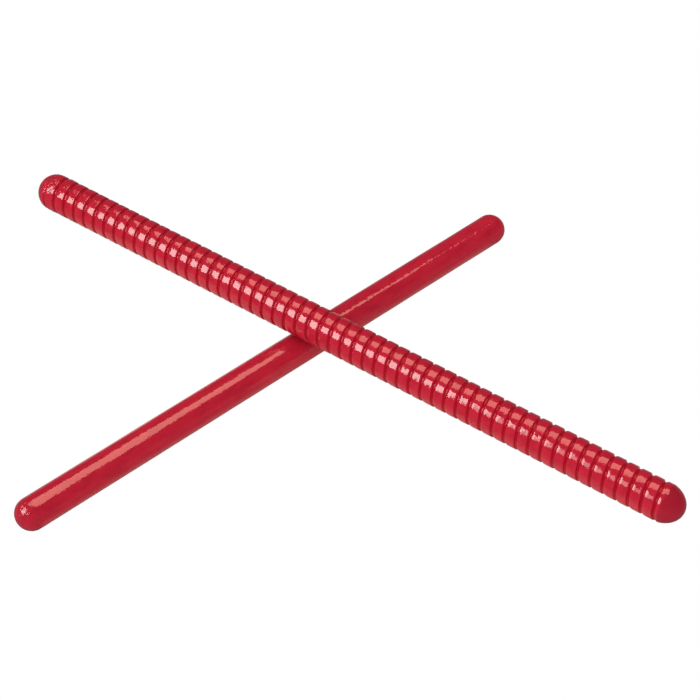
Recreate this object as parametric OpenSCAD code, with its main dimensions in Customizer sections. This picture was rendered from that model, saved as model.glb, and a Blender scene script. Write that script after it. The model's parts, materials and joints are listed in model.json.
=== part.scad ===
// A pair of turned hardwood rhythm sticks, one ribbed by a spiral groove and one plain,
// lying crossed on a table. Millimetres, +Z up, the table is z = 0.

/* [Plain stick] */
// Length over both domed ends
plain_len = 306; // [200:1:400]
// Diameter over the lacquer
plain_dia = 15.2; // [10:0.1:20]

/* [Ribbed stick] */
// Length over both domed ends
rib_len = 360; // [260:1:440]
// Diameter over the lands between the grooves
rib_dia = 18; // [12:0.1:24]

/* [Spiral groove] */
// Distance along the stick from one turn to the next
groove_pitch = 6.32; // [5:0.01:9]
// Depth below the lands
groove_depth = 0.75; // [0.3:0.05:1.2]
// Width at the mouth
groove_mouth = 2; // [1:0.1:2.4]
// Width at the floor
groove_floor = 0.7; // [0.2:0.1:0.9]
// How far onto the left dome the groove runs, as a share of the stick's radius
groove_onto_dome = 0.4; // [0.2:0.05:0.4]
// Angle about the stick where the groove starts, from level on the far side, over the top
groove_clock = 38; // [0:1:359]

/* [Crossing] */
// Heading of the plain stick seen from above, from +X towards +Y
plain_heading = 44.1; // [20:0.1:60]
// Heading of the ribbed stick seen from above, from +X towards -Y
rib_heading = 33.9; // [20:0.1:60]
// Share of the plain stick that lies to the left of the crossing
plain_share = 0.552; // [0.3:0.001:0.7]
// Share of the ribbed stick that lies to the left of the crossing
rib_share = 0.443; // [0.3:0.001:0.49]
// Air left between the two sticks where they cross
crossing_gap = 0.2; // [0.05:0.05:0.5]

/* [Hidden] */

plain_r = plain_dia / 2;
rib_r = rib_dia / 2;

// Distances from the crossing to the centre of the dome at each end.
plain_left = plain_len * plain_share - plain_r;
plain_right = plain_len * (1 - plain_share) - plain_r;
rib_left = rib_len * rib_share - rib_r;
rib_right = rib_len * (1 - rib_share) - rib_r;

// The right-hand end of the ribbed stick rests on the table, so its tilt follows from
// the two radii. The tilt and the lean of the line between the axes settle in a few passes.
cross_angle = plain_heading + rib_heading;
axes_apart = plain_r + rib_r + crossing_gap;
function lean(tilt) = cos(tilt) * sin(cross_angle)
    / sqrt(pow(sin(tilt), 2) + pow(cos(tilt) * sin(cross_angle), 2));
function settle(tilt, passes) = passes == 0 ? tilt
    : settle(asin((plain_r - rib_r + axes_apart * lean(tilt)) / rib_right), passes - 1);
rib_tilt = settle(4, 8);

// Unit vectors along each stick, left to right, and across both at the crossing.
plain_axis = [cos(plain_heading), sin(plain_heading), 0];
rib_axis = [cos(rib_tilt) * cos(rib_heading), -cos(rib_tilt) * sin(rib_heading), -sin(rib_tilt)];
across = cross(rib_axis, plain_axis) / norm(cross(rib_axis, plain_axis));

// Dome centres with the crossing of the plain axis at x = 0, y = 0.
plain_mid = [0, 0, plain_r];
rib_mid = plain_mid + axes_apart * across;
plain_ends = [plain_mid - plain_left * plain_axis, plain_mid + plain_right * plain_axis];
rib_ends = [rib_mid - rib_left * rib_axis, rib_mid + rib_right * rib_axis];

// The origin is under the middle of the box around both sticks.
function low(i) = min(plain_ends[0][i] - plain_r, plain_ends[1][i] - plain_r,
    rib_ends[0][i] - rib_r, rib_ends[1][i] - rib_r);
function high(i) = max(plain_ends[0][i] + plain_r, plain_ends[1][i] + plain_r,
    rib_ends[0][i] + rib_r, rib_ends[1][i] + rib_r);
to_origin = [-(low(0) + high(0)) / 2, -(low(1) + high(1)) / 2, 0];

// Steps around the ribbed stick and rings on each of its domes. The first ring lies just
// beyond the groove.
steps = 24;
dome_rings = 6;
dome_from = asin(groove_onto_dome + groove_mouth / 2 / rib_r) + 1.5;

// Length between the dome centres, where the groove starts from the left one, and as many
// whole turns as fit before the right dome turns down.
straight = rib_left + rib_right;
groove_start = -groove_onto_dome * rib_r;
groove_turns = floor((straight + rib_r / 4 - groove_start) / groove_pitch);

// The four corners of one turn of groove: where they lie along the stick from the middle
// of the groove, and how deep.
corner_at = [-groove_mouth / 2, -groove_floor / 2, groove_floor / 2, groove_mouth / 2];
corner_depth = [0, groove_depth, groove_depth, 0];

// Distance of a corner from the left dome centre, a number of turns after the start.
function along(turns_in, corner) = groove_start + groove_pitch * turns_in + corner_at[corner];

// Radius of the blank before it is grooved: straight, then round at both ends.
function over(at) = max(0, -at, at - straight);
function blank_r(at) = sqrt(pow(rib_r, 2) - pow(over(at), 2));

// The cutter keeps its distance from the axis, so the left dome falls away from under it.
// It is drawn out over the last four tenths of a turn.
function ease(turns_in) = min(1, (groove_turns - turns_in) / 0.4);
function cut_r(turns_in, corner) = rib_r - corner_depth[corner] * ease(turns_in);
function ring_point(step, at, r) = [at, r * cos(360 * step / steps), r * sin(360 * step / steps)];
function corner_point(step, turns_in, corner) = ring_point(step, along(turns_in, corner),
    min(blank_r(along(turns_in, corner)), cut_r(turns_in, corner)));

// Groove corners run in rows of four to a turn, counted along the stick.
rows = 4 * groove_turns;
function row_point(step, row) = corner_point(step, floor(row / 4) + step / steps, row % 4);

// One lengthwise file of points: left dome from its base outwards, the groove rows, right dome.
function dome_angle(i) = dome_from + (90 - dome_from) * i / dome_rings;
function file_points(step) = concat(
    [for (i = [0 : dome_rings - 1])
        ring_point(step, -rib_r * sin(dome_angle(i)), rib_r * cos(dome_angle(i)))],
    [for (row = [0 : rows - 1]) row_point(step, row)],
    [for (i = [0 : dome_rings - 1])
        ring_point(step, straight + rib_r * sin(dome_angle(i)), rib_r * cos(dome_angle(i)))]);
file_len = 2 * dome_rings + rows;
rib_points = concat([for (step = [0 : steps - 1]) each file_points(step)],
    [[-rib_r, 0, 0], [straight + rib_r, 0, 0]]);
left_pole = steps * file_len;
right_pole = left_pole + 1;

// Indices of a point by its step and place in the file.
function left_i(step, i) = (step % steps) * file_len + i;
function row_i(step, row) = (step % steps) * file_len + dome_rings + row;
function right_i(step, i) = (step % steps) * file_len + dome_rings + rows + i;

// Two triangles between neighbouring files, a to b on one and c to d on the next.
function quad(a, b, c, d) = [[a, b, d], [a, d, c]];

rib_faces = concat(
    // Left dome, pole last.
    [for (s = [0 : steps - 1]) for (i = [0 : dome_rings - 2])
        each quad(left_i(s, i + 1), left_i(s, i), left_i(s + 1, i + 1), left_i(s + 1, i))],
    [for (s = [0 : steps - 1])
        [left_pole, left_i(s, dome_rings - 1), left_i(s + 1, dome_rings - 1)]],
    // Right dome, pole last.
    [for (s = [0 : steps - 1]) for (i = [0 : dome_rings - 2])
        each quad(right_i(s, i), right_i(s, i + 1), right_i(s + 1, i), right_i(s + 1, i + 1))],
    [for (s = [0 : steps - 1])
        [right_pole, right_i(s + 1, dome_rings - 1), right_i(s, dome_rings - 1)]],
    // The grooved length, all files but the seam.
    [for (s = [0 : steps - 2]) for (row = [0 : rows - 2])
        each quad(row_i(s, row), row_i(s, row + 1), row_i(s + 1, row), row_i(s + 1, row + 1))],
    [for (s = [0 : steps - 2])
        each quad(left_i(s, 0), row_i(s, 0), left_i(s + 1, 0), row_i(s + 1, 0))],
    [for (s = [0 : steps - 2]) each quad(row_i(s, rows - 1), right_i(s, 0),
        row_i(s + 1, rows - 1), right_i(s + 1, 0))],
    // The seam, where each turn of the last file meets the next turn of the first.
    [for (row = [0 : rows - 6]) each quad(row_i(steps - 1, row), row_i(steps - 1, row + 1),
        row_i(0, row + 4), row_i(0, row + 5))],
    [[left_i(steps - 1, 0), row_i(0, 0), left_i(0, 0)]],
    [for (row = [0 : 3]) [left_i(steps - 1, 0), row_i(0, row + 1), row_i(0, row)]],
    [[left_i(steps - 1, 0), row_i(steps - 1, 0), row_i(0, 4)]],
    [[row_i(steps - 1, rows - 5), right_i(0, 0), row_i(0, rows - 1)]],
    [for (row = [rows - 5 : rows - 2])
        [row_i(steps - 1, row), row_i(steps - 1, row + 1), right_i(0, 0)]],
    [[row_i(steps - 1, rows - 1), right_i(steps - 1, 0), right_i(0, 0)]]);

// The plain stick: a straight dowel with a dome at each end.
module plain_stick() {
    color([0.74, 0.11, 0.19])
        translate(to_origin + plain_ends[0])
            rotate([0, 0, plain_heading])
                rotate([0, 90, 0])
                    rotate_extrude($fn = 96)
                        intersection() {
                            union() {
                                circle(r = plain_r, $fn = 96);
                                square([plain_r, plain_left + plain_right]);
                                translate([0, plain_left + plain_right])
                                    circle(r = plain_r, $fn = 96);
                            }
                            translate([0, -plain_r])
                                square([plain_r, plain_len]);
                        }
}

// The ribbed stick: a thicker dowel with one right-hand groove from dome to dome.
module ribbed_stick() {
    color([0.70, 0.10, 0.18])
        translate(to_origin + rib_ends[0])
            rotate([0, rib_tilt, -rib_heading])
                rotate([groove_clock, 0, 0])
                    polyhedron(points = rib_points, faces = rib_faces, convexity = 10);
}

plain_stick();
ribbed_stick();
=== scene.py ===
"""A pair of red lacquered rhythm sticks, one ribbed and one plain, lying crossed.

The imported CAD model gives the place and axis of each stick. Each is replaced by a fine mesh,
0.1 mm fuller all round, that carries the spiral groove with its worn shoulder, the domes and
the waviness of thick lacquer.
"""
import json
import math
import random

import bpy
from mathutils import Matrix, Quaternion, Vector, noise


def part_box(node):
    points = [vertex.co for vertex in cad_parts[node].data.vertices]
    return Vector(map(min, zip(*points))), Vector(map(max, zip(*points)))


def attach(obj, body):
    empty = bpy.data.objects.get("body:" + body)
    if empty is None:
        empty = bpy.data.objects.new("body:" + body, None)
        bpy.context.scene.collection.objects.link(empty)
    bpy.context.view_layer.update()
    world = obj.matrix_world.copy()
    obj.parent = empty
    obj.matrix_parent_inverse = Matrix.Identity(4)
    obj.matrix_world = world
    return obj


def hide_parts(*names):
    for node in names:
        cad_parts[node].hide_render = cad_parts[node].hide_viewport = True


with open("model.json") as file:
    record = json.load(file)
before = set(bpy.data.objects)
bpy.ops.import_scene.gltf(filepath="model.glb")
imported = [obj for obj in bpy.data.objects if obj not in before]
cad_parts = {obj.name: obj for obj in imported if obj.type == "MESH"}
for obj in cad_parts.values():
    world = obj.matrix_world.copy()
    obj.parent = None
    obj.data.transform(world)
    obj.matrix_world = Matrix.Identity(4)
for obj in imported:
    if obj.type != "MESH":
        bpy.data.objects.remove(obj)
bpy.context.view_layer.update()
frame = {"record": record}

MM = 0.001

# ---------------------------------------------------------------- sizes, as in the CAD model
PLAIN_RADIUS = 7.6 * MM
PLAIN_LENGTH = 306.0 * MM
RIB_RADIUS = 9.0 * MM
RIB_LENGTH = 360.0 * MM
PITCH = 6.32 * MM
GROOVE_DEPTH = 0.75 * MM
GROOVE_START = -0.4 * RIB_RADIUS      # from the left dome centre, at GROOVE_CLOCK
GROOVE_CLOCK = 38.0                   # degrees about the stick, 0 level on the far side
GROOVE_TURNS = 55
EASE_IN = 0.7                         # turns over which the paint still fills the groove
EASE_OUT = 0.4                        # turns over which the cutter is drawn out

# Cross-section of the groove. The edge on its left is crisp, and the one on its right is worn
# down over a low shoulder.
FLOOR_HALF = 0.30 * MM
MOUTH_HALF = 1.00 * MM
SHOULDER_END = 2.20 * MM              # from the groove's middle
SHOULDER_SHARE = 0.20                 # of the groove's depth, where the shoulder starts

# ---------------------------------------------------------------- how fine the meshes are
PLAIN_AROUND = 144                    # points round the plain stick
PLAIN_STEPS = 620                     # rings along its straight part
PLAIN_DOME_RINGS = 22
RIB_AROUND = 120                      # points round the ribbed stick
RIB_DOME_RINGS = 18
RIB_DOME_STEP = 3.0                   # degrees from ring to ring
RUN_STEPS = 5                         # from dome to groove, and from groove to dome
GROOVE_STEPS = 16                     # points across the groove
SHOULDER_STEPS = 4
LAND_STEPS = 6                        # points across the rest of the land

# ---------------------------------------------------------------- the coat of lacquer
SKIN = 0.10 * MM                      # how far the skins stand outside the CAD, a fitted value
CREASE = 0.30 * RIB_RADIUS            # the ribbed stick's right dome leaves it at a slight crease
POOLED_AND_SHADED_LESS = 0.6                     # how much less of the pooled dark paint and painted shade is on the right-hand wall

# Waviness: height, stretch along the stick, size and place in the noise.
PLAIN_WAVES = [(0.045 * MM, 5.0, 3.2 * MM, 3.1), (0.016 * MM, 2.0, 1.1 * MM, 8.7)]
RIB_WAVES = [(0.034 * MM, 1.3, 2.6 * MM, 21.3), (0.014 * MM, 1.0, 1.0 * MM, 5.9)]

# Specks under the paint: seed, number, and least and greatest height in millimetres.
PLAIN_SPECKS = (11, 90, 0.010, 0.035)
PLAIN_END_SPECKS = (12, 26, 0.04, 0.12)
RIB_SPECKS = (21, 260, 0.010, 0.035)
RIB_END_SPECKS = (22, 80, 0.06, 0.20)
PLAIN_END_REACH = 0.8 * PLAIN_RADIUS  # how far up the left dome its specks go
RIB_END_REACH = 0.9 * RIB_RADIUS
RIB_END_INNER = 8 * MM                # and how far they go along the straight part
SPECK_SHELF = 2.5 * MM                # length of stick searched at a time for specks
SPECK_SMALLEST = 0.45                 # radius in millimetres
SPECK_LARGEST = 0.9
SPECK_EDGE = 2.5                      # a speck is left out beyond this many of its radii

# Darker dipped ends: the plain stick's left one and the ribbed stick's right one.
DIP_EDGE = 0.9 * MM                   # width of the edge of the darker paint
DIP_START = 0.4 * MM                  # and how far left of the dome's base it starts
PLAIN_DIP = 0.35                      # strength, where the ribbed stick's is 1

# Gritty left domes: strength, how far left of the dome's base it starts to fade, and how far
# the fading goes.
PLAIN_GRIT = 0.5
PLAIN_GRIT_START = 2.0 * MM
PLAIN_GRIT_FADE = 3.0 * MM
RIB_GRIT = 0.75
RIB_GRIT_START = 2.5 * MM
RIB_GRIT_FADE = 7.0 * MM


def smooth(t):
    """Smooth step from 0 at t = 0 to 1 at t = 1."""
    t = max(0.0, min(1.0, t))
    return t * t * (3.0 - 2.0 * t)


# ---------------------------------------------------------------- where each stick lies
def stick_frame(node, mount_name):
    """Matrix with +X along the stick, left to right, and its origin in the stick's middle."""
    low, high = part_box(node)
    middle = (Vector(low) + Vector(high)) / 2
    mounts = {m["name"]: m for m in frame["record"]["mounts"]}
    along = Vector(mounts[mount_name]["axis"]).normalized()
    far = Vector((0, 0, 1)).cross(along).normalized()
    top = along.cross(far)
    turn = Matrix((along, far, top)).transposed().to_4x4()
    return Matrix.Translation(middle) @ turn


def wave(along, angle, radius, stretch, size, seed):
    """Gentle unevenness of the lacquer at a point of the skin, about -1 to 1."""
    c, s = math.cos(angle) * radius, math.sin(angle) * radius
    p = Vector((along / (size * stretch), c / size, s / size)) + Vector((seed, 0, 0))
    return noise.noise(p)


def waviness(waves, along, angle, radius):
    """Height of the wavy lacquer at a point of the skin."""
    height = 0.0
    for tall, stretch, size, seed in waves:
        height += tall * wave(along, angle, radius, stretch, size, seed)
    return height


def scatter_specks(kind, start, end):
    """Specks under the paint between two places along a stick, sorted into short stretches."""
    seed, count, low, high = kind
    rng = random.Random(seed)
    shelves = {}
    for _ in range(count):
        at = rng.uniform(start, end)
        around = rng.uniform(0.0, 2 * math.pi)
        size = rng.uniform(SPECK_SMALLEST, SPECK_LARGEST) * MM
        tall = rng.uniform(low, high) * MM
        for shelf in (-1, 0, 1):
            near = shelves.setdefault(int(at // SPECK_SHELF) + shelf, [])
            near.append((at, around, size, tall))
    return shelves


def speck_height(shelves, along, angle, radius):
    """Height of the paint over the specks near a point of the skin."""
    height = 0.0
    for at, around, size, tall in shelves.get(int(along // SPECK_SHELF), ()):
        turn = (angle - around + math.pi) % (2 * math.pi) - math.pi
        gap = math.hypot(along - at, turn * radius) / size
        if gap < SPECK_EDGE:
            height += tall * math.exp(-gap * gap)
    return height


def zip_strip(left, right, place):
    """Triangles between two lengthwise files of points, each in order of place."""
    faces = []
    i = j = 0
    while i < len(left) - 1 or j < len(right) - 1:
        left_is_next = j == len(right) - 1
        if not left_is_next and i < len(left) - 1:
            left_is_next = place(left[i + 1]) < place(right[j + 1])
        if left_is_next:
            faces.append((left[i], left[i + 1], right[j]))
            i += 1
        else:
            faces.append((left[i], right[j + 1], right[j]))
            j += 1
    return faces


def new_mesh(name, verts, faces, matrix, layers):
    """A smooth-shaded object in the stick's own axes, placed by its matrix."""
    mesh = bpy.data.meshes.new(name)
    mesh.from_pydata(verts, [], faces)
    for layer_name, values in layers.items():
        layer = mesh.attributes.new(layer_name, "FLOAT", "POINT")
        layer.data.foreach_set("value", values)
    mesh.polygons.foreach_set("use_smooth", [True] * len(mesh.polygons))
    mesh.update()
    obj = bpy.data.objects.new(name, mesh)
    bpy.context.scene.collection.objects.link(obj)
    obj.matrix_world = matrix
    return obj


# ---------------------------------------------------------------- the plain stick
def build_plain():
    """A round-ended rod made of rings of points, from the left dome to the right one."""
    half = PLAIN_LENGTH / 2 - PLAIN_RADIUS
    rings = []
    for i in range(1, PLAIN_DOME_RINGS):
        a = math.radians(90 - 90 * i / PLAIN_DOME_RINGS)
        rings.append((-half - PLAIN_RADIUS * math.sin(a), PLAIN_RADIUS * math.cos(a)))
    for i in range(PLAIN_STEPS + 1):
        rings.append((-half + 2 * half * i / PLAIN_STEPS, PLAIN_RADIUS))
    for i in range(1, PLAIN_DOME_RINGS):
        a = math.radians(90 * i / PLAIN_DOME_RINGS)
        rings.append((half + PLAIN_RADIUS * math.sin(a), PLAIN_RADIUS * math.cos(a)))
    specks = scatter_specks(PLAIN_SPECKS, -half, half)
    end_specks = scatter_specks(PLAIN_END_SPECKS, -half - PLAIN_END_REACH, -half)
    verts, dipped, speckled = [], [], []
    for x, r in rings:
        for k in range(PLAIN_AROUND):
            a = 2 * math.pi * k / PLAIN_AROUND
            lump = waviness(PLAIN_WAVES, x, a, PLAIN_RADIUS)
            lump += speck_height(specks, x, a, r) + speck_height(end_specks, x, a, r)
            reach = r + SKIN + lump * r / PLAIN_RADIUS
            verts.append((x, reach * math.cos(a), reach * math.sin(a)))
            undipped = smooth((x + half + DIP_START) / DIP_EDGE)
            dipped.append(PLAIN_DIP - PLAIN_DIP * undipped)
            clean = smooth((x + half + PLAIN_GRIT_START) / PLAIN_GRIT_FADE)
            speckled.append(PLAIN_GRIT - PLAIN_GRIT * clean)
    faces = []
    for i in range(len(rings) - 1):
        for k in range(PLAIN_AROUND):
            a = i * PLAIN_AROUND + k
            b = i * PLAIN_AROUND + (k + 1) % PLAIN_AROUND
            faces.append((a, a + PLAIN_AROUND, b + PLAIN_AROUND, b))
    left, right = len(verts), len(verts) + 1
    verts.append((-half - PLAIN_RADIUS, 0, 0))
    verts.append((half + PLAIN_RADIUS, 0, 0))
    dipped += [PLAIN_DIP, 0.0]
    speckled += [PLAIN_GRIT, 0.0]
    last = (len(rings) - 1) * PLAIN_AROUND
    for k in range(PLAIN_AROUND):
        following = (k + 1) % PLAIN_AROUND
        faces.append((left, k, following))
        faces.append((right, last + following, last + k))
    matrix = stick_frame("plain_stick", "plain_grip")
    layers = {"dipped": dipped, "speckled": speckled}
    return new_mesh("plain_stick_skin", verts, faces, matrix, layers)


# ---------------------------------------------------------------- the ribbed stick
def groove_share(offset):
    """Share of the groove's depth at a distance right of its middle."""
    wall = 1.0 - smooth((abs(offset) - FLOOR_HALF) / (MOUTH_HALF - FLOOR_HALF))
    if offset <= 0.0:
        return wall
    worn = max(0.0, min(1.0, (SHOULDER_END - offset) / (SHOULDER_END - MOUTH_HALF)))
    shoulder = SHOULDER_SHARE * worn ** 2
    return shoulder + (1.0 - shoulder) * wall


def build_ribbed():
    """A round-ended rod made of lengthwise files of points that follow the spiral groove."""
    straight = RIB_LENGTH - 2 * RIB_RADIUS
    shoulder = SHOULDER_END - MOUTH_HALF
    land = PITCH - MOUTH_HALF - SHOULDER_END
    offsets = [MOUTH_HALF * (2 * i / GROOVE_STEPS - 1) for i in range(GROOVE_STEPS + 1)]
    offsets += [MOUTH_HALF + shoulder * i / SHOULDER_STEPS for i in range(1, SHOULDER_STEPS + 1)]
    offsets += [SHOULDER_END + land * i / (LAND_STEPS + 1) for i in range(1, LAND_STEPS + 1)]
    verts, pooled_and_shaded_depths, dipped, speckled = [], [], [], []
    specks = scatter_specks(RIB_SPECKS, 0.0, straight)
    end_specks = scatter_specks(RIB_END_SPECKS, -RIB_END_REACH, RIB_END_INNER)

    def blank(s):
        """Radius of the rod before the groove is cut, at s from the left dome's centre."""
        crease = CREASE if s > straight else 0.0
        reach = RIB_RADIUS + crease
        over = max(0.0, -s, s - straight) + crease
        left_over = max(0.0, reach ** 2 - over ** 2) / (reach ** 2 - crease ** 2)
        return RIB_RADIUS * math.sqrt(left_over)

    def add(s, k, share, pooled_and_shaded=0.0):
        """Add the point at s in file k, where the groove has this share of its depth."""
        a = math.radians(GROOVE_CLOCK) + 2 * math.pi * k / RIB_AROUND
        body = blank(s)
        floor = RIB_RADIUS - GROOVE_DEPTH * share
        r = min(body, floor)
        lump = waviness(RIB_WAVES, s, a, RIB_RADIUS)
        lump += speck_height(specks, s, a, r) + speck_height(end_specks, s, a, r)
        r = r + SKIN + lump * body / RIB_RADIUS
        verts.append((s - straight / 2, r * math.cos(a), r * math.sin(a)))
        # How dark the groove is coloured here: pooled dark paint and painted shade, less on the
        # right-hand wall.
        pooled_and_shaded_depths.append(max(0.0, body - floor) / GROOVE_DEPTH * pooled_and_shaded)
        dipped.append(smooth((s - straight + DIP_START) / DIP_EDGE))
        speckled.append(RIB_GRIT - RIB_GRIT * smooth((s + RIB_GRIT_START) / RIB_GRIT_FADE))
        return len(verts) - 1

    # One lengthwise file of points for each step around: dome, run-up, grooves, run-out, dome.
    dome_at = [math.radians(90 - RIB_DOME_STEP * i) for i in range(1, RIB_DOME_RINGS + 1)]
    files = []
    first_from = -RIB_RADIUS * math.sin(dome_at[-1])
    last_to = straight + RIB_RADIUS * math.sin(dome_at[-1])
    for k in range(RIB_AROUND):
        column = []
        for a in dome_at:
            column.append(add(-RIB_RADIUS * math.sin(a), k, 0.0))
        start = GROOVE_START + PITCH * k / RIB_AROUND + offsets[0]
        for i in range(1, RUN_STEPS):
            column.append(add(first_from + (start - first_from) * i / RUN_STEPS, k, 0.0))
        for turn in range(GROOVE_TURNS):
            turned = turn + k / RIB_AROUND
            ease = smooth((GROOVE_TURNS - turned) / EASE_OUT) * smooth(turned / EASE_IN)
            for off in offsets:
                s = GROOVE_START + PITCH * turned + off
                # Pooled paint and painted shade: full on the left wall and floor, less towards
                # the right-hand wall.
                rightward = smooth((off + FLOOR_HALF) / (MOUTH_HALF + FLOOR_HALF))
                pooled_and_shaded = 1.0 - POOLED_AND_SHADED_LESS * rightward
                column.append(add(s, k, groove_share(off) * ease, pooled_and_shaded))
        end = GROOVE_START + PITCH * (GROOVE_TURNS - 1 + k / RIB_AROUND) + offsets[-1]
        for i in range(1, RUN_STEPS):
            column.append(add(end + (last_to - end) * i / RUN_STEPS, k, 0.0))
        for a in reversed(dome_at):
            column.append(add(straight + RIB_RADIUS * math.sin(a), k, 0.0))
        files.append(column)

    faces = []
    for k in range(RIB_AROUND - 1):
        one, two = files[k], files[k + 1]
        for i in range(len(one) - 1):
            faces.append((one[i], one[i + 1], two[i + 1], two[i]))
    # The seam, where each turn of the last file meets the next turn of the first.
    faces += zip_strip(files[-1], files[0], lambda v: verts[v][0])
    left, right = len(verts), len(verts) + 1
    verts.append((-straight / 2 - RIB_RADIUS, 0, 0))
    verts.append((straight / 2 + RIB_RADIUS, 0, 0))
    pooled_and_shaded_depths += [0.0, 0.0]
    dipped += [0.0, 1.0]
    speckled += [RIB_GRIT, 0.0]
    for k in range(RIB_AROUND):
        following = (k + 1) % RIB_AROUND
        faces.append((left, files[k][0], files[following][0]))
        faces.append((right, files[following][-1], files[k][-1]))
    matrix = stick_frame("ribbed_stick", "ribbed_grip")
    layers = {"groove": pooled_and_shaded_depths, "dipped": dipped, "speckled": speckled}
    return new_mesh("ribbed_stick_skin", verts, faces, matrix, layers)


# ---------------------------------------------------------------- lacquer
class Nodes:
    """Shorthand for building a material's node tree."""

    def __init__(self, name):
        self.material = bpy.data.materials.new(name)
        self.material.use_nodes = True
        self.tree = self.material.node_tree
        self.tree.nodes.clear()

    def add(self, kind, **settings):
        node = self.tree.nodes.new(kind)
        for key, value in settings.items():
            setattr(node, key, value)
        return node

    def link(self, a, b):
        self.tree.links.new(a, b)

    def mapped(self, scale):
        coords = self.add("ShaderNodeTexCoord")
        mapping = self.add("ShaderNodeMapping")
        mapping.inputs["Scale"].default_value = scale
        self.link(coords.outputs["Object"], mapping.inputs["Vector"])
        return mapping.outputs["Vector"]

    def noise(self, vector, scale, detail=2.0, rough=0.5):
        node = self.add("ShaderNodeTexNoise")
        node.inputs["Scale"].default_value = scale
        node.inputs["Detail"].default_value = detail
        node.inputs["Roughness"].default_value = rough
        self.link(vector, node.inputs["Vector"])
        return node.outputs["Fac"]

    def ramp(self, value, stops):
        node = self.add("ShaderNodeValToRGB")
        ramp = node.color_ramp
        for element, stop in zip(ramp.elements, (stops[0], stops[-1])):
            element.position, element.color = stop
        for place, colour in stops[1:-1]:
            ramp.elements.new(place).color = colour
        self.link(value, node.inputs["Fac"])
        return node.outputs["Color"]

    def feed(self, sockets, values):
        """Link or set each socket, whichever its value calls for."""
        for socket, value in zip(sockets, values):
            if hasattr(value, "links"):
                self.link(value, socket)
            else:
                socket.default_value = value

    def mix(self, factor, a, b):
        """Colour a where the factor is 0 and b where it is 1."""
        node = self.add("ShaderNodeMix", data_type="RGBA")
        # Sockets 0, 6 and 7 are the ones for colours, as is output 2.
        self.feed((node.inputs[0], node.inputs[6], node.inputs[7]), (factor, a, b))
        return node.outputs[2]

    def math(self, kind, a, b, c=0.0):
        node = self.add("ShaderNodeMath", operation=kind)
        self.feed(node.inputs, (a, b, c))
        return node.outputs[0]

    def bump(self, height, strength, distance, normal=None):
        node = self.add("ShaderNodeBump")
        node.inputs["Strength"].default_value = strength
        node.inputs["Distance"].default_value = distance
        self.link(height, node.inputs["Height"])
        if normal is not None:
            self.link(normal, node.inputs["Normal"])
        return node.outputs["Normal"]


BLACK = (0.0, 0.0, 0.0, 1.0)
WHITE = (1.0, 1.0, 1.0, 1.0)

LACQUER = (0.575, 0.0150, 0.0380, 1.0)
LACQUER_DEEP = (0.45, 0.0095, 0.0280, 1.0)
LACQUER_THIN = (0.64, 0.0205, 0.0420, 1.0)
# Pooled dark paint in the groove together with painted shade, heaviest on the groove's left wall.
GROOVE_POOLED_AND_SHADED = (0.45, 0.0050, 0.0190, 1.0)
DIPPED_LACQUER = (0.42, 0.0115, 0.0300, 1.0)

# Thick and thin places in the colour.
CLOUD_SCALE = 260.0
CLOUD_DETAIL = 4.0
CLOUD_RAGGED = 0.6
CLOUD_STOPS = [(0.30, LACQUER_DEEP), (0.50, LACQUER), (0.72, LACQUER_THIN)]
CLOUD_EVENED = 0.30                   # share of the even colour mixed in

# The groove, by the share of its depth: where its colour darkens with pooled paint and painted
# shade, and where its gloss is lost.
GROOVE_DARK = (0.08, 0.50)
GROOVE_DULL = (0.10, 0.45)

COAT = 0.8                            # strength of the glossy coat
COAT_ROUGHNESS = 0.035
COAT_IOR = 1.5
BASE_SPECULAR = 0.25                  # level of the weak gloss under the coat
BASE_TINT = (1.0, 0.5, 0.5, 1.0)

# Roughness under the coat: it goes between two levels, at two places of a noise.
ROUGH_SCALE = 420.0
ROUGH_DETAIL = 3.0
ROUGH_PLACES = (0.30, 0.75)
ROUGH_LEVELS = (0.10, 0.17)

# Relief too fine for the mesh: size of the noise, strength and height.
FINE_SCALE = 1500.0
FINE_STRENGTH = 0.5
FINE_HEIGHT = 0.012 * MM
RIPPLE_SCALE = 700.0
RIPPLE_STRENGTH = 1.0
RIPPLE_HEIGHT = 0.085 * MM
GRIT_SCALE = 650.0
GRIT_STRENGTH = 1.0
GRIT_HEIGHT = 0.22 * MM
GRIT_PLACES = (0.50, 0.68)            # of the noise, from no grit to full grit


def grey(level):
    return (level, level, level, 1.0)


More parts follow.
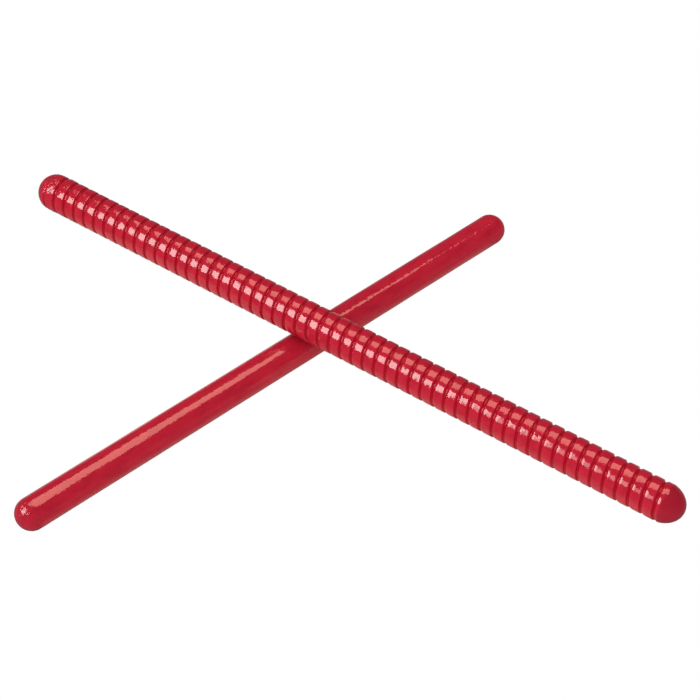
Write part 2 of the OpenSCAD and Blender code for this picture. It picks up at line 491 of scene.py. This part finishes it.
def lacquer(name, grain_stretch, grooved):
    """Red lacquer, cloudy and rippled along the grain, with darker ends, gritty patches and,
    where grooved, grooves darkened by pooled paint and painted shade.
    """
    n = Nodes(name)
    grain = n.mapped((1.0 / grain_stretch, 1.0, 1.0))
    even = n.mapped((1.0, 1.0, 1.0))
    cloud = n.noise(grain, CLOUD_SCALE, CLOUD_DETAIL, CLOUD_RAGGED)
    colour = n.ramp(cloud, CLOUD_STOPS)
    colour = n.mix(CLOUD_EVENED, colour, LACQUER)
    dip = n.add("ShaderNodeAttribute", attribute_name="dipped")
    colour = n.mix(dip.outputs["Fac"], colour, DIPPED_LACQUER)
    shader = n.add("ShaderNodeBsdfPrincipled")
    shader.inputs["Coat Weight"].default_value = COAT
    if grooved:
        # Pooled paint and painted shade darken the groove by its share of depth.
        depth = n.add("ShaderNodeAttribute", attribute_name="groove").outputs["Fac"]
        dark = n.ramp(depth, list(zip(GROOVE_DARK, (BLACK, WHITE))))
        colour = n.mix(dark, colour, GROOVE_POOLED_AND_SHADED)
        gloss = n.ramp(depth, list(zip(GROOVE_DULL, (grey(COAT), BLACK))))
        n.link(gloss, shader.inputs["Coat Weight"])
    fine = n.bump(n.noise(even, FINE_SCALE), FINE_STRENGTH, FINE_HEIGHT)
    ripple = n.noise(grain, RIPPLE_SCALE)
    rippled = n.bump(ripple, RIPPLE_STRENGTH, RIPPLE_HEIGHT, fine)
    patch = n.add("ShaderNodeAttribute", attribute_name="speckled")
    grit = n.ramp(n.noise(even, GRIT_SCALE), list(zip(GRIT_PLACES, (BLACK, WHITE))))
    bumps = n.mix(patch.outputs["Fac"], BLACK, grit)
    normal = n.bump(bumps, GRIT_STRENGTH, GRIT_HEIGHT, rippled)
    levels = [grey(level) for level in ROUGH_LEVELS]
    fog = n.noise(even, ROUGH_SCALE, ROUGH_DETAIL)
    rough = n.ramp(fog, list(zip(ROUGH_PLACES, levels)))
    shader.inputs["Specular IOR Level"].default_value = BASE_SPECULAR
    shader.inputs["Specular Tint"].default_value = BASE_TINT
    shader.inputs["Coat Roughness"].default_value = COAT_ROUGHNESS
    shader.inputs["Coat IOR"].default_value = COAT_IOR
    n.link(colour, shader.inputs["Base Color"])
    n.link(rough, shader.inputs["Roughness"])
    n.link(normal, shader.inputs["Normal"])
    n.link(normal, shader.inputs["Coat Normal"])
    out = n.add("ShaderNodeOutputMaterial")
    n.link(shader.outputs["BSDF"], out.inputs["Surface"])
    return n.material


PLAIN_GRAIN = 2.5                     # how much longer than wide the clouds and ripples are
RIB_GRAIN = 1.5

plain = build_plain()
plain.data.materials.append(lacquer("plain_lacquer", PLAIN_GRAIN, grooved=False))
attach(plain, "plain_stick")
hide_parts("plain_stick")

ribbed = build_ribbed()
ribbed.data.materials.append(lacquer("ribbed_lacquer", RIB_GRAIN, grooved=True))
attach(ribbed, "ribbed_stick")
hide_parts("ribbed_stick")


# ---------------------------------------------------------------- floor, lights, camera
SOFT_COLOUR = (1.0, 0.98, 0.98, 1.0)
SOFT_LEVEL = 0.80                     # brightness of the light from all round
SOFT_LEAN = 0.42                      # how much brighter it is towards BRIGHT_SIDE
BRIGHT_SIDE = (-0.75, -0.50, 0.43)
MIRRORED_LOW = 0.12                   # brightness of the surroundings in reflections, at the
MIRRORED_HIGH = 0.03                  # horizon and from a height of MIRRORED_RISE up
MIRRORED_RISE = 0.35                  # upward part of the direction

FLOOR_SIDE = 16.0                     # metres
# Painted light on the floor, seen only in the lacquer: painted bounce light beside the sticks
# fading into painted shade, by metres from the nearest stick.
FLOOR_PAINTED_LIGHT = [(0.016, (0.86, 0.56, 0.50, 1.0)), (0.040, (0.34, 0.18, 0.20, 1.0)),
               (0.300, (0.20, 0.10, 0.11, 1.0))]
PLAIN_FRONT = 2.2                     # how fast the tone fades in front of the plain stick
RIB_FRONT = 1.0                       # and in front of the ribbed one
BACK_STRETCH = 0.7                    # and behind both sticks
END_STRETCH = 2.5                     # and past their ends
END_SET_BACK = 22.0 * MM              # fading past the ends starts this far short of them
PAINTED_POOL_PLACE = (-0.10, 0.03, 0.0)       # painted pool of light on the floor, below the raised end of the ribbed stick
PAINTED_POOL_RADIUS = 45.0 * MM
PAINTED_POOL_STRETCH = 0.8                    # how fast the tone fades round the pool


def build_floor():
    """White to the camera. In the lacquer it shows painted bounce light, warm beside the sticks,
    that fades into painted shade from there.
    """
    mesh = bpy.data.meshes.new("floor")
    half = FLOOR_SIDE / 2
    corners = [(-half, -half), (half, -half), (half, half), (-half, half)]
    mesh.from_pydata([(x, y, -SKIN) for x, y in corners], [], [(0, 1, 2, 3)])
    floor = bpy.data.objects.new("floor", mesh)
    bpy.context.scene.collection.objects.link(floor)
    floor.visible_diffuse = False
    n = Nodes("floor_white_painted_light")
    coords = n.add("ShaderNodeTexCoord").outputs["Object"]

    def measured(direction, start):
        """Distance of the shaded point along a direction, counted from start."""
        node = n.add("ShaderNodeVectorMath", operation="DOT_PRODUCT")
        n.feed(node.inputs, (coords, direction))
        return n.math("SUBTRACT", node.outputs["Value"], start)

    nearest = None
    sticks = ((plain, PLAIN_LENGTH, PLAIN_FRONT), (ribbed, RIB_LENGTH, RIB_FRONT))
    for stick, length, front_stretch in sticks:
        axes = stick.matrix_world
        middle = axes.translation
        along, far = axes.col[0].xyz, axes.col[1].xyz
        aside = measured(far, far.dot(middle))
        front = n.math("MULTIPLY", aside, -front_stretch)
        back = n.math("MULTIPLY", aside, BACK_STRETCH)
        beside = n.math("MAXIMUM", front, back)
        lengthwise = n.math("ABSOLUTE", measured(along, along.dot(middle)), 0.0)
        end_start = END_STRETCH * (END_SET_BACK - length / 2)
        past = n.math("MULTIPLY_ADD", lengthwise, END_STRETCH, end_start)
        away = n.math("MAXIMUM", beside, past)
        nearest = away if nearest is None else n.math("MINIMUM", nearest, away)
    # A painted pool of light on the floor below the raised end of the ribbed stick.
    from_pool = n.add("ShaderNodeVectorMath", operation="DISTANCE")
    n.feed(from_pool.inputs, (coords, PAINTED_POOL_PLACE))
    pool = n.math("SUBTRACT", from_pool.outputs["Value"], PAINTED_POOL_RADIUS)
    pool = n.math("MULTIPLY", pool, PAINTED_POOL_STRETCH)
    nearest = n.math("MINIMUM", nearest, pool)
    # The floor's colour in reflections is painted light: warm bounce light near the sticks,
    # painted shade farther off.
    paper = n.add("ShaderNodeBsdfDiffuse")
    n.link(n.ramp(nearest, FLOOR_PAINTED_LIGHT), paper.inputs["Color"])
    bright = n.add("ShaderNodeEmission")
    bright.inputs["Strength"].default_value = 1.0
    path = n.add("ShaderNodeLightPath")
    either = n.add("ShaderNodeMixShader")
    n.link(path.outputs["Is Camera Ray"], either.inputs[0])
    n.link(paper.outputs[0], either.inputs[1])
    n.link(bright.outputs[0], either.inputs[2])
    out = n.add("ShaderNodeOutputMaterial")
    n.link(either.outputs[0], out.inputs["Surface"])
    mesh.materials.append(n.material)


def area_light(name, place, target, shift, spin, width, height, radiance, colour):
    """A lamp seen only as a reflection. Its power is set from the brightness of its face.

    It is aimed from its place at the target, turned by spin degrees and moved sideways by shift.
    """
    data = bpy.data.lights.new(name, "AREA")
    data.shape = "RECTANGLE"
    data.size, data.size_y = width, height
    data.energy = radiance * math.pi * width * height
    data.color = colour
    light = bpy.data.objects.new(name, data)
    bpy.context.scene.collection.objects.link(light)
    aim = Vector(target) - Vector(place)
    turned = aim.to_track_quat("-Z", "Y") @ Quaternion((0, 0, 1), math.radians(spin))
    light.location = Vector(place) + turned @ Vector((shift, 0, 0))
    light.rotation_mode = "QUATERNION"
    light.rotation_quaternion = turned
    light.visible_diffuse = False


def build_world():
    """White to the camera, dark in reflections, and soft light from all round for the rest."""
    world = bpy.data.worlds.new("studio")
    world.use_nodes = True
    tree = world.node_tree
    tree.nodes.clear()

    def background(colour):
        node = tree.nodes.new("ShaderNodeBackground")
        node.inputs["Color"].default_value = colour
        return node

    def choose(flag, no, yes):
        node = tree.nodes.new("ShaderNodeMixShader")
        tree.links.new(path.outputs[flag], node.inputs[0])
        tree.links.new(no.outputs[0], node.inputs[1])
        tree.links.new(yes.outputs[0], node.inputs[2])
        return node

    path = tree.nodes.new("ShaderNodeLightPath")
    seen = background(WHITE)
    mirrored = background(WHITE)
    soft = background(SOFT_COLOUR)
    coords = tree.nodes.new("ShaderNodeTexCoord")
    upward = tree.nodes.new("ShaderNodeSeparateXYZ")
    fade = tree.nodes.new("ShaderNodeMapRange")
    fade.interpolation_type = "SMOOTHSTEP"
    fade.inputs["From Max"].default_value = MIRRORED_RISE
    fade.inputs["To Min"].default_value = MIRRORED_LOW
    fade.inputs["To Max"].default_value = MIRRORED_HIGH
    tree.links.new(coords.outputs["Generated"], upward.inputs[0])
    tree.links.new(upward.outputs["Z"], fade.inputs["Value"])
    tree.links.new(fade.outputs[0], mirrored.inputs["Strength"])
    towards = tree.nodes.new("ShaderNodeVectorMath")
    towards.operation = "DOT_PRODUCT"
    towards.inputs[1].default_value = BRIGHT_SIDE
    tree.links.new(coords.outputs["Generated"], towards.inputs[0])
    level = tree.nodes.new("ShaderNodeMath")
    level.operation = "MULTIPLY_ADD"
    level.inputs[1].default_value = SOFT_LEAN
    level.inputs[2].default_value = SOFT_LEVEL
    tree.links.new(towards.outputs["Value"], level.inputs[0])
    tree.links.new(level.outputs[0], soft.inputs["Strength"])
    out = tree.nodes.new("ShaderNodeOutputWorld")
    lit = choose("Is Glossy Ray", soft, mirrored)
    tree.links.new(choose("Is Camera Ray", lit, seen).outputs[0], out.inputs["Surface"])
    bpy.context.scene.world = world


build_floor()

OVERHEAD_PLACE = (0.165, 0.43, 1.50)
OVERHEAD_TARGET = (0.165, 0.43, 0.0)
OVERHEAD_SPIN = -14.0                 # degrees
OVERHEAD_COLOUR = (1.0, 0.71, 0.56)
area_light("overhead_lamp", OVERHEAD_PLACE, OVERHEAD_TARGET, 0.0, OVERHEAD_SPIN,
           width=1.42, height=0.95, radiance=4.2, colour=OVERHEAD_COLOUR)

# The box at the front left is dimmer along the edge nearer the camera. Its colour is a little
# green, to make up for the red tint of the gloss under the coat.
BOX_PLACE = (-1.19, -0.73, 1.17)
BOX_TARGET = (0.0, 0.0, 0.0)
BOX_COLOUR = (0.91, 1.09, 1.05)
BOX_SHIFT = -0.18                     # metres sideways
EDGE_SHIFT = 0.36
area_light("front_left_box", BOX_PLACE, BOX_TARGET, BOX_SHIFT, 0.0,
           width=0.76, height=1.07, radiance=8.8, colour=BOX_COLOUR)
area_light("front_left_edge", BOX_PLACE, BOX_TARGET, EDGE_SHIFT, 0.0,
           width=0.32, height=0.70, radiance=3.8, colour=BOX_COLOUR)
build_world()

CAMERA_PLACE = (0.00411, -0.72584, 0.63828)
CAMERA_DROP = 40.70                   # degrees that the camera looks down
CAMERA_LENS = 105.0                   # millimetres, as is the width of the sensor
CAMERA_SENSOR = 36.0
CAMERA_NEAREST = 0.01
CAMERA_FARTHEST = 50.0

scene = bpy.context.scene
scene.view_settings.view_transform = "Standard"
scene.view_settings.look = "None"
scene.view_settings.exposure = 0.0
scene.view_settings.gamma = 1.0

camera_data = bpy.data.cameras.new("camera")
camera_data.lens = CAMERA_LENS
camera_data.sensor_width = CAMERA_SENSOR
camera_data.clip_start = CAMERA_NEAREST
camera_data.clip_end = CAMERA_FARTHEST
camera = bpy.data.objects.new("camera", camera_data)
scene.collection.objects.link(camera)
camera.location = CAMERA_PLACE
camera.rotation_euler = (math.radians(90.0 - CAMERA_DROP), 0.0, 0.0)
scene.camera = camera
